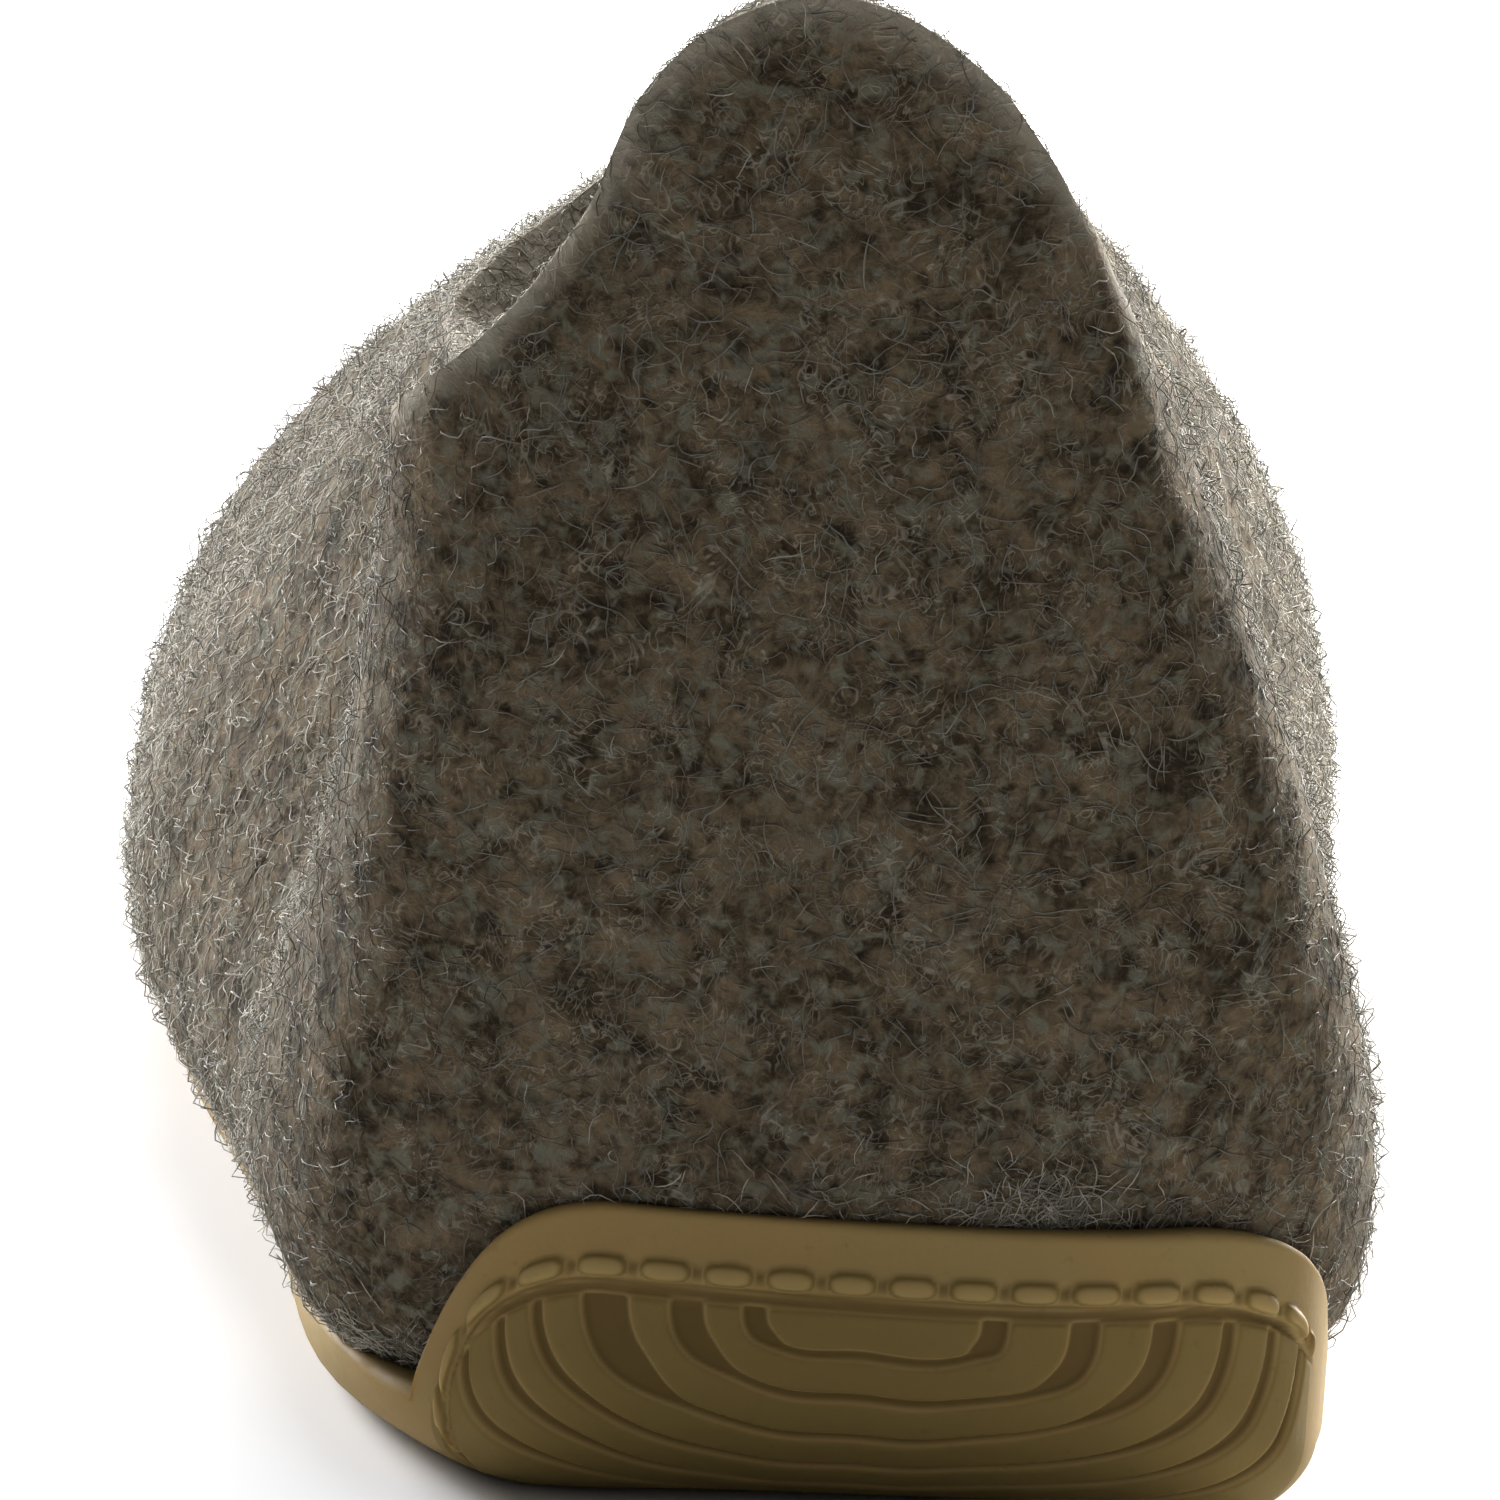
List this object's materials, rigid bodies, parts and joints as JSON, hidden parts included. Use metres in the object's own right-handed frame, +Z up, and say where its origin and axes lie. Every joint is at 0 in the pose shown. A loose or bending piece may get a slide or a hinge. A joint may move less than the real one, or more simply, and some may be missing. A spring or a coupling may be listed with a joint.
{
  "type": "felt slipper",
  "caption": "Low slip-on house shoe of felted wool for the left foot, with a raised heel tab, an open collar and a gum-rubber sole that turns up behind the heel.",
  "frame": {"origin": "on the floor, under the middle of the shoe's box", "axes": "+Y from heel to toe, +X to the inner side of the foot, +Z up"},
  "size_m": [0.0962, 0.2588, 0.108],
  "materials": {
    "felt": "mottled grey-brown felted wool with a loose nap",
    "rubber": "matt amber gum rubber",
    "footbed": "grey-brown felt"
  },
  "bodies": {
    "root": {"upper": "felt", "outsole": "rubber", "insole": "footbed"}
  },
  "joints": []
}
